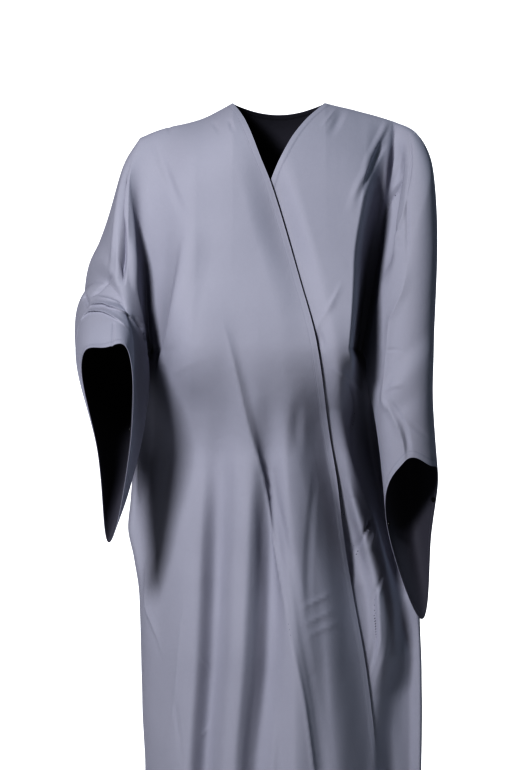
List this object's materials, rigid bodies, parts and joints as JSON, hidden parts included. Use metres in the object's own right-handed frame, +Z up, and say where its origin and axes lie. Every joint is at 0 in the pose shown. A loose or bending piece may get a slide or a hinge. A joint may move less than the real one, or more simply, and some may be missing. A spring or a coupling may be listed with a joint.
{
  "type": "abaya",
  "caption": "Long loose robe with wide pointed sleeves, a V neck and a right front lapped over the left, worn form with a bent right arm.",
  "frame": {"origin": "midway between the two neck points, on the line of the shoulders, where the wearer's shoulders carry the robe", "axes": "+Z up along the wearer, -Y the way the wearer faces, +X to the wearer's left"},
  "size_m": [0.6141, 0.4012, 1.4194],
  "materials": {
    "crepe_slate": "plain matt crepe with a faint soft sheen",
    "snap_black": "satin"
  },
  "bodies": {
    "root": {"front_right": "crepe_slate", "front_left": "crepe_slate", "back": "crepe_slate", "sleeve_right": "crepe_slate", "sleeve_left": "crepe_slate", "snap_right_inner": "snap_black", "snap_right_outer": "snap_black", "snap_left_inner": "snap_black", "snap_left_outer": "snap_black"}
  },
  "joints": []
}
